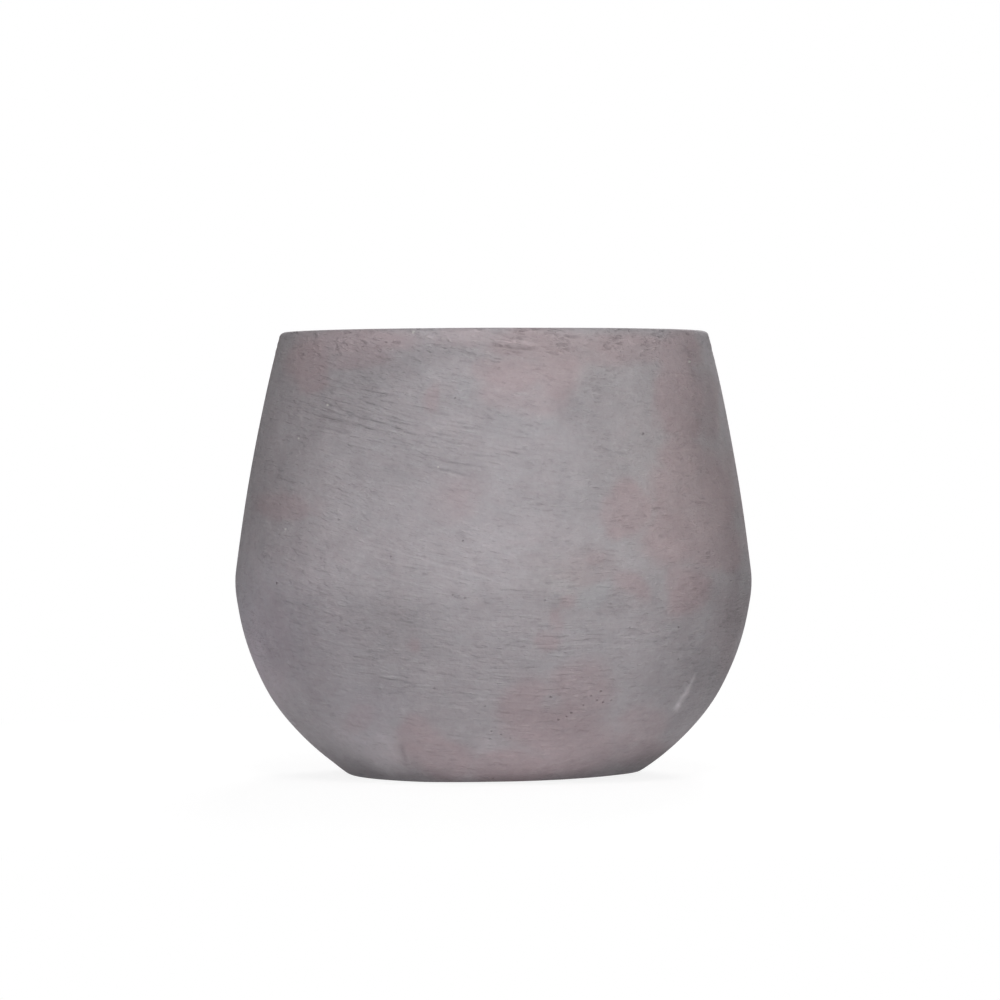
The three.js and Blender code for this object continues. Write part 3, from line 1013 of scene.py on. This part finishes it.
def stroke_group():
    """A soft line between two places of the front elevation: 1 on it, 0 beside it and at its ends."""
    tree = bpy.data.node_groups.new("Brush Stroke", "ShaderNodeTree")
    for label, kind in (("Place", "Vector"), ("Start", "Vector"), ("End", "Vector"), ("Width", "Float")):
        new_socket(tree, label, kind)
    new_socket(tree, "Line", "Float", "OUTPUT")
    t = Tree(tree)
    given, result = t.add("NodeGroupInput").outputs, t.add("NodeGroupOutput").inputs
    run = t.vectors("SUBTRACT", given["End"], given["Start"])
    to_place = t.vectors("SUBTRACT", given["Place"], given["Start"])
    along = t.maths("DIVIDE", t.vectors("DOT_PRODUCT", to_place, run), t.vectors("DOT_PRODUCT", run, run))
    away = t.vectors("LENGTH", t.vectors("SUBTRACT", to_place, t.scaled(run, along)))
    across = t.between(t.maths("DIVIDE", away, given["Width"]), 0.0, 0.8, 1.0, 0.0)
    ends = t.between(t.maths("ABSOLUTE", t.centred(along)), 0.15, 0.5, 1.0, 0.0)
    t.link(t.times(across, ends), result["Line"])
    return tree


def concrete_material(look):
    """Brushed cement: grey with pink-brown clouds, strokes of the slurry brush, grain and lime."""
    material, t, shader = principled_material("brushed_concrete")
    place = t.add("ShaderNodeTexCoord").outputs["Object"]
    x, y, z = t.apart(place)

    def painted(name):
        return t.add("ShaderNodeAttribute", attribute_name=name).outputs["Fac"]

    def all_but(part):
        return t.minus(1.0, part)

    front, bare = painted("front"), painted("bare")

    # The brush ran nearly level: down to the right on the left side, level on the right side.
    drift = t.times(t.centred(t.noise(place, 90 * MM, detail=1.0)), 7 * MM)
    down = t.between(z, 60 * MM, 210 * MM, 0.04, 0.17)
    slope = t.minus(t.times(x, down), t.times(x, x, 0.5))
    level = t.plus(z, slope, drift)

    def streaks(size, stretch, detail=2.0, roughness=0.6):
        """Noise that is drawn out the way the brush ran."""
        return t.noise(t.together(x, y, t.times(level, stretch)), size, detail, roughness)

    # Dashes of the bristles all over, dark and light, which are stronger in patches and under the rim.
    dashes = streaks(look.dash_size, 3.4)
    dashes = t.minus(t.between(dashes, 0.53, 0.7), t.between(dashes, 0.3, 0.47, 1.0, 0.0))
    patchy = t.between(t.noise(place, 17 * MM), 0.35, 0.65, 0.2, 0.47)
    rough_rim = t.between(z, shell_high.z - 22 * MM, shell_high.z - 8 * MM, 1.0, 2.0)
    dashes = t.times(dashes, patchy, rough_rim)

    # Long strokes where the brush ran on, faint elsewhere and inside.
    long = t.centred(streaks(look.stroke_size, 14.0))
    long = t.times(long, t.plus(0.3, t.times(t.maths("ABSOLUTE", long), 4.0)))
    random_places = t.times(t.between(t.noise(place, 70 * MM, detail=1.0), 0.45, 0.65), 0.35)
    where = t.maths("MAXIMUM", t.times(painted("brushed"), front), random_places)
    long = t.times(long, t.times(t.plus(t.times(where, 0.88), 0.12), all_but(t.times(bare, 0.7))))

    grain = t.centred(t.noise(place, look.grain_size, detail=2.0, roughness=0.6))
    mottle = t.centred(t.noise(place, look.mottle_size, detail=4.0, roughness=0.65))

    # Clouds: chosen ones on the front, random ones elsewhere, all with ragged edges.
    ragged = t.centred(streaks(13 * MM, 2.2, detail=4.0, roughness=0.65))
    faint = t.centred(t.noise(place, 45 * MM, detail=2.0))
    random_clouds = t.between(t.noise(place, 85 * MM, detail=2.0), 0.46, 0.66)
    clouds = t.plus(t.times(painted("warm"), front), t.times(random_clouds, all_but(front)))
    clouds = t.plus(clouds, t.plus(t.times(ragged, 0.8), t.times(faint, 0.3)))
    warm = t.maths("MINIMUM", t.maths("MAXIMUM", clouds, -0.3), 1.1)
    skin = t.mix(warm, (*look.grey, 1), (*look.warm, 1))
    bluer = t.plus(1.0, t.times(painted("violet"), front))
    skin = t.vectors("MULTIPLY", skin, t.together(1.0, 1.0, bluer))
    base = t.mix(bare, skin, (*look.bare, 1))

    # Single strokes on the front, a little wavy. Their colour paints the grooves' shade and the ridges'
    # light, on top of their bump.
    stroke = stroke_group()
    elevation = t.together(x, z, 0.0)
    wave = t.times(t.centred(t.noise(place, 14 * MM, detail=2.0)), 2.5 * MM)
    wavy = t.vectors("ADD", elevation, t.together(0.0, wave, 0.0))
    strokes = 0.0
    for start, end, width, strength in STROKES:
        drawn = t.add("ShaderNodeGroup", node_tree=stroke)
        t.link(wavy, drawn.inputs["Place"])
        drawn.inputs["Start"].default_value = (start[0] * MM, start[1] * MM, 0)
        drawn.inputs["End"].default_value = (end[0] * MM, end[1] * MM, 0)
        drawn.inputs["Width"].default_value = width * MM
        strokes = t.plus(strokes, t.times(drawn.outputs[0], strength))
    strokes = t.times(strokes, front)

    # Specks of lime: chosen ones, and random ones everywhere.
    specks = 0.0
    for across, up, diameter in SPECKS:
        away = t.vectors("DISTANCE", elevation, (across * MM, up * MM, 0.0))
        speck = t.between(away, diameter * 0.2 * MM, diameter * 0.6 * MM, 1.0, 0.0)
        specks = t.maths("MAXIMUM", specks, speck)
    cells = t.add("ShaderNodeTexVoronoi", {"Vector": place, "Scale": 1 / (11 * MM)})
    near = t.between(cells.outputs["Distance"], 0.035, 0.08, 1.0, 0.0)
    lucky = t.maths("GREATER_THAN", t.apart(cells.outputs["Color"])[0], 0.93)
    specks = t.maths("MAXIMUM", t.times(specks, front), t.times(near, lucky, 0.5))

    # The tone that is read here holds the concrete's own lighter and darker places and also painted light
    # and shade: painted shade below the keel and along the foot's edge, and painted light above the keel, at
    # the lower left edge and above the foot. The strokes add painted shade in their grooves and painted
    # light on their ridges.
    shade = t.plus(
        t.times(dashes, look.brush),
        t.times(long, look.brush * 2),
        t.times(grain, look.grain),
        t.times(mottle, look.mottle),
        t.times(strokes, 0.1),
        t.times(painted("tone_and_painted_light"), front),
        1.0,
    )
    final = t.mix(t.times(specks, 0.75), t.scaled(base, shade), (*look.lime, 1))
    t.link(final, shader.inputs["Base Color"])

    height = t.plus(t.times(dashes, 0.75), t.times(grain, 0.5), t.times(long, 2.4), t.times(strokes, 0.25))
    bump = t.first("ShaderNodeBump", {"Height": height, "Distance": 1.0 * MM, "Strength": 1.0})
    t.link(bump, shader.inputs["Normal"])
    t.link(t.plus(look.roughness, t.times(t.plus(grain, dashes), 0.12)), shader.inputs["Roughness"])
    shader.inputs["Specular IOR Level"].default_value = 0.2
    return material


def rubber_material(name, tint, dust_tint, roughness, dusty):
    """Moulded rubber: fine pebbling, and cement dust where it settles."""
    material, t, shader = principled_material(name)
    place = t.add("ShaderNodeTexCoord").outputs["Object"]
    pebbles = t.noise(place, 0.5 * MM, detail=2.0)
    smears = t.noise(place, 6 * MM, detail=4.0, roughness=0.65)
    facing_up = t.between(t.apart(t.add("ShaderNodeNewGeometry").outputs["Normal"])[2], 0.2, 1.0)
    dust = t.times(t.between(smears, 0.45, 0.75), t.plus(0.35, facing_up), dusty)
    t.link(t.mix(dust, (*tint, 1), (*dust_tint, 1)), shader.inputs["Base Color"])
    t.link(t.plus(roughness, t.times(dust, 0.4)), shader.inputs["Roughness"])
    bump = t.first("ShaderNodeBump", {"Height": pebbles, "Distance": 0.06 * MM, "Strength": 1.0})
    t.link(bump, shader.inputs["Normal"])
    return material


def backdrop_material():
    """A pale floor that lights the planter, seen as white with a soft shadow, and clear from beneath."""
    material = bpy.data.materials.new("pale_floor")
    t, surface = empty_tree(material, "ShaderNodeOutputMaterial")

    def grey(level):
        return t.first("ShaderNodeBsdfDiffuse", {"Color": (level, level, level, 1)})

    def glowing(strength):
        return t.first("ShaderNodeEmission", {"Color": (1, 1, 1, 1), "Strength": strength})

    def mixed(factor, first, second):
        return t.first("ShaderNodeMixShader", {0: factor, 1: first, 2: second})

    # To the camera: white far away, and nearly white near the planter, where it takes a shadow.
    near = t.first("ShaderNodeAddShader", {0: grey(0.25), 1: glowing(0.86)})
    white = glowing(1.0)
    place = t.add("ShaderNodeTexCoord").outputs["Object"]
    seen = mixed(t.between(t.vectors("LENGTH", place), 0.35, 0.7), near, white)
    rays = t.add("ShaderNodeLightPath").outputs
    plain_view = t.maths("MAXIMUM", rays["Is Glossy Ray"], rays["Is Transmission Ray"])
    lit = mixed(plain_view, grey(0.75), white)
    from_above = mixed(rays["Is Camera Ray"], lit, seen)
    beneath = t.add("ShaderNodeNewGeometry").outputs["Backfacing"]
    t.link(mixed(beneath, from_above, t.first("ShaderNodeBsdfTransparent")), surface)
    return material


def white_world(ambient):
    """White to the camera and in reflections, and a plain grey light on the planter."""
    world = bpy.data.worlds.new("white_studio")
    t, surface = empty_tree(world, "ShaderNodeOutputWorld")
    rays = t.add("ShaderNodeLightPath").outputs
    seen = t.maths("MAXIMUM", rays["Is Camera Ray"], rays["Is Transmission Ray"])
    seen = t.maths("MAXIMUM", seen, rays["Is Glossy Ray"])

    def light(strength):
        return t.first("ShaderNodeBackground", {"Color": (1, 1, 1, 1), "Strength": strength})

    t.link(t.first("ShaderNodeMixShader", {0: seen, 1: light(ambient), 2: light(1.0)}), surface)
    return world


def add_panel(name, place, target, size, power, shape="RECTANGLE"):
    """A soft lamp that the camera doesn't see."""
    lamp = bpy.data.lights.new(name, "AREA")
    lamp.shape = shape
    lamp.size = lamp.size_y = size
    lamp.energy = power
    panel = add_object(name, lamp)
    panel.location = place
    panel.rotation_euler = (Vector(target) - Vector(place)).to_track_quat("-Z", "Y").to_euler()
    panel.visible_camera = False


def around_the_planter(azimuth, elevation, distance):
    """A place round the planter's middle, at a distance: azimuth 0 is in front, 90 on the right."""
    side, up = math.radians(azimuth), math.radians(elevation)
    flat = distance * math.cos(up)
    return (flat * math.sin(side), -flat * math.cos(side), distance * math.sin(up) + shell_high.z / 2)


# ---- operators ----
class PLANTER_OT_make_shell(bpy.types.Operator):
    """Make the cast concrete shell, with its pinholes and its brushed skin"""

    bl_idname = "planter.make_shell"
    bl_label = "Make Shell"
    bl_options = {"REGISTER", "UNDO"}

    def execute(self, context):
        sizes = context.scene.planter_shell
        material = concrete_material(context.scene.planter_concrete)
        section = ShellSection(sizes, sizes.base_round_sharp)
        soft = ShellSection(sizes, sizes.base_round_soft)
        line_of_points = section_mesh("shell_section", section.points(), soft.points())
        inputs = {
            "Columns": sizes.columns,
            "Material": material,
            "Underside": section.underside,
            "Rim Top": section.rim_top,
            "Lean": sizes.lean,
            "Rim Tilt": sizes.rim_tilt,
            "Base Tilt": sizes.base_tilt,
            "Wobble": sizes.wobble,
            "Ridge": sizes.ridge,
            "Outside Rows": len(section.outside()),
        }
        blank = grow("concrete_shell", line_of_points, shell_tree(revolve_tree()), inputs)
        surface = BVHTree.FromObject(blank, context.evaluated_depsgraph_get())
        inputs = {
            "Spots": pinhole_spots(surface),
            "Density": sizes.pinhole_density,
            "Least Diameter": sizes.pinhole_least,
            "Most Diameter": sizes.pinhole_most,
            "Material": material,
        }
        start = blank.data
        bpy.data.objects.remove(blank)
        shell = grow("concrete_shell", start, pinhole_tree(), inputs)
        paint_clouds(shell.data, section)
        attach(shell, "planter")
        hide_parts("planter_shell")
        return {"FINISHED"}


class PLANTER_OT_make_plug(bpy.types.Operator):
    """Make the rubber drain plug, with its ribs and its pull knob"""

    bl_idname = "planter.make_plug"
    bl_label = "Make Drain Plug"
    bl_options = {"REGISTER", "UNDO"}

    def section(self, sizes, shell):
        """From the hollow in the shank's lower end up round the outside to the knob's top."""
        floor_top = shell_low.z + shell.recess_depth + shell.floor_thickness
        seat = floor_top + sizes.clearance

        def crest_at(height):
            narrowed = (floor_top - height) * math.tan(shell.drain_draft)
            return shell.drain_diameter / 2 - narrowed - sizes.clearance

        def shank_at(height):
            return crest_at(height) - sizes.rib_depth

        end = plug_low.z
        points = [at(0, seat - sizes.core_roof)]
        core = at(shank_at(end) - sizes.shank_wall, seat - sizes.core_roof)
        edge_round, core_lip, shank_round = 0.8 * MM, 0.5 * MM, 0.7 * MM
        points += line(points[0], core - at(edge_round, 0), 2)
        points += arc(core - at(edge_round, edge_round), edge_round, math.pi / 2, 0, 4)
        points += [at(core.x, end + core_lip)]
        points += arc(at(core.x + core_lip, end + core_lip), core_lip, math.pi, math.pi * 1.5, 3)
        foot = at(shank_at(end) - shank_round, end + shank_round)
        points += [at(foot.x, end)]
        points += arc(foot, shank_round, -math.pi / 2, 0, 4)
        ribs = math.floor((seat - shell.drain_top_chamfer - end) / sizes.rib_pitch) - 1
        rib_steps, fullness = 6, 0.7
        for i in range(ribs):
            crest = end + sizes.rib_pitch * (i + 1)
            low, high = crest - sizes.rib_height / 2, crest + sizes.rib_height / 2
            points.append(at(shank_at(low), low))
            for step in range(1, rib_steps):
                share_up = step / rib_steps
                height = low + (high - low) * share_up
                swell = math.sin(math.pi * share_up) ** fullness
                points.append(at(shank_at(height) + sizes.rib_depth * swell, height))
            points.append(at(shank_at(high), high))
        points += [at(shank_at(seat), seat)]
        top = seat + sizes.flange_thickness
        edge = at(plug_high.x - sizes.flange_round, top - sizes.flange_round)
        lip_round = 0.4 * MM
        lip = at(plug_high.x - lip_round, seat + lip_round)
        points += line(points[-1], at(lip.x, seat), 3)
        points += arc(lip, lip_round, -math.pi / 2, 0, 3)
        points += [at(plug_high.x, edge.y)]
        points += arc(edge, sizes.flange_round, 0, math.pi / 2, 6)
        neck = sizes.neck_diameter / 2
        neck_foot = at(neck + sizes.neck_fillet, top + sizes.neck_fillet)
        points += line(points[-1], at(neck_foot.x, top), 3)
        points += arc(neck_foot, sizes.neck_fillet, -math.pi / 2, -math.pi, 5)
        bottom = top + sizes.neck_height
        knob_edge = neck + sizes.knob_overhang - sizes.knob_round
        under = at(neck + edge_round, bottom - edge_round)
        points += [at(neck, under.y)]
        points += arc(under, edge_round, math.pi, math.pi / 2, 4)
        points += arc(at(knob_edge, bottom + sizes.knob_round), sizes.knob_round, -math.pi / 2, 0, 7)
        knob_top = at(knob_edge, plug_high.z - sizes.knob_round)
        points += [knob_top + at(sizes.knob_round, 0)]
        points += arc(knob_top, sizes.knob_round, 0, math.pi / 2, 8)
        dimple = 0.3 * MM
        points += line(points[-1], at(0, plug_high.z - dimple), 5)
        return points

    def execute(self, context):
        sizes = context.scene.planter_plug
        look = context.scene.planter_rubber
        material = rubber_material("plug_rubber", look.plug, look.dust, roughness=0.45, dusty=0.5)
        start = section_mesh("plug_section", self.section(sizes, context.scene.planter_shell))
        tree = turned_tree("Moulded Plug", revolve_tree(), sharp_degrees=40)
        plug = grow("rubber_drain_plug", start, tree, {"Columns": sizes.columns, "Material": material})
        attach(plug, "plug")
        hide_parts("drain_plug")
        return {"FINISHED"}


class PLANTER_OT_make_feet(bpy.types.Operator):
    """Make the rubber feet in the recess under the base"""

    bl_idname = "planter.make_feet"
    bl_label = "Make Feet"
    bl_options = {"REGISTER", "UNDO"}

    def section(self, sizes):
        """From the middle of the dished sole round the rounded edge to the middle of the top."""
        radius = (foot_high.y - foot_low.y) / 2
        top, edge, top_round = foot_high.z, sizes.edge_round, 0.3 * MM
        dish_radius, steps = radius * 0.7, 6
        sole = [
            at(dish_radius * i / steps, sizes.dish * math.cos(math.pi / 2 * i / steps) ** 2)
            for i in range(steps + 1)
        ]
        return [
            *sole,
            at(radius - edge, 0),
            *arc(at(radius - edge, edge), edge, -math.pi / 2, 0, 6),
            *arc(at(radius - top_round, top - top_round), top_round, 0, math.pi / 2, 3),
            at(0, top),
        ]

    def execute(self, context):
        sizes = context.scene.planter_foot
        look = context.scene.planter_rubber
        material = rubber_material("foot_rubber", look.foot, look.dust, roughness=0.6, dusty=0.35)
        start = section_mesh("foot_section", self.section(sizes))
        tree = turned_tree("Rubber Feet", revolve_tree(), sharp_degrees=40, copies=len(FEET))
        inputs = {
            "Columns": sizes.columns,
            "Material": material,
            "Circle Radius": (foot_low.x + foot_high.x) / 2,
        }
        feet = grow("rubber_feet", start, tree, inputs)
        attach(feet, "planter")
        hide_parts(*FEET)
        return {"FINISHED"}


class PLANTER_OT_set_up_studio(bpy.types.Operator):
    """Set up the floor, the lights and the camera"""

    bl_idname = "planter.set_up_studio"
    bl_label = "Set Up Studio"
    bl_options = {"REGISTER", "UNDO"}

    FLOOR_RADIUS = 3.0
    SOFTBOX_DISTANCE = 2.5
    SOFTBOX_SIZE = 1.0
    BOUNCE_HEIGHT = 0.5 * MM  # just above the floor, and below the base
    BOUNCE_SIZE = 2.4

    def execute(self, context):
        scene, studio = context.scene, context.scene.planter_studio
        mesh = bpy.data.meshes.new("floor")
        build = bmesh.new()
        bmesh.ops.create_circle(build, cap_ends=True, segments=64, radius=self.FLOOR_RADIUS)
        build.to_mesh(mesh)
        build.free()
        mesh.materials.append(backdrop_material())
        floor = add_object("floor", mesh)

        scene.world = white_world(studio.ambient)
        middle = (0, 0, shell_high.z / 2)
        for name, azimuth, elevation, power in (
            ("high_softbox", 4, 50, studio.high),
            ("low_softbox", 0, 8, studio.low),
            ("top_softbox", 0, 89, studio.top),
            ("back_softbox", 173, 25, studio.back),
        ):
            place = around_the_planter(azimuth, elevation, self.SOFTBOX_DISTANCE)
            add_panel(name, place, middle, self.SOFTBOX_SIZE, power)
        place = (0, 0, self.BOUNCE_HEIGHT)
        add_panel("floor_bounce", place, (0, 0, 1), self.BOUNCE_SIZE, studio.bounce, "ELLIPSE")

        camera = bpy.data.cameras.new("camera")
        camera.lens = studio.lens
        camera.clip_start, camera.clip_end = 0.1, 20.0
        eye = add_object("camera", camera)
        eye.location = (0, -studio.camera_distance, studio.camera_height)
        eye.rotation_euler = (math.pi / 2 - studio.camera_pitch, 0, -studio.camera_yaw)
        scene.camera = eye
        scene.view_settings.view_transform = "Standard"
        return {"FINISHED"}


class PLANTER_PT_panel(bpy.types.Panel):
    """The planter's pieces and their settings"""

    bl_label = "Concrete Bowl Planter"
    bl_idname = "PLANTER_PT_panel"
    bl_space_type = "VIEW_3D"
    bl_region_type = "UI"
    bl_category = "Planter"

    def draw(self, context):
        for operator, groups in STEPS:
            box = self.layout.box()
            box.operator(operator)
            for group in groups:
                settings = getattr(context.scene, group)
                for name in settings.__annotations__:
                    box.prop(settings, name)


STEPS = [
    ("planter.make_shell", ["planter_shell", "planter_concrete"]),
    ("planter.make_plug", ["planter_plug", "planter_rubber"]),
    ("planter.make_feet", ["planter_foot"]),
    ("planter.set_up_studio", ["planter_studio"]),
]
GROUPS = {
    "planter_shell": PlanterShellSizes,
    "planter_concrete": PlanterConcreteLook,
    "planter_rubber": PlanterRubberLook,
    "planter_plug": PlanterPlugSizes,
    "planter_foot": PlanterFootSizes,
    "planter_studio": PlanterStudio,
}
CLASSES = [
    *GROUPS.values(),
    PLANTER_OT_make_shell,
    PLANTER_OT_make_plug,
    PLANTER_OT_make_feet,
    PLANTER_OT_set_up_studio,
    PLANTER_PT_panel,
]


def register():
    for each in CLASSES:
        bpy.utils.register_class(each)
    for name, group in GROUPS.items():
        setattr(bpy.types.Scene, name, PointerProperty(type=group))


def unregister():
    for name in GROUPS:
        delattr(bpy.types.Scene, name)
    for each in reversed(CLASSES):
        bpy.utils.unregister_class(each)


def main():
    """Makes the pieces and the studio."""
    register()
    bpy.ops.planter.set_up_studio()
    bpy.ops.planter.make_shell()
    bpy.ops.planter.make_plug()
    bpy.ops.planter.make_feet()


if __name__ == "__main__":
    main()
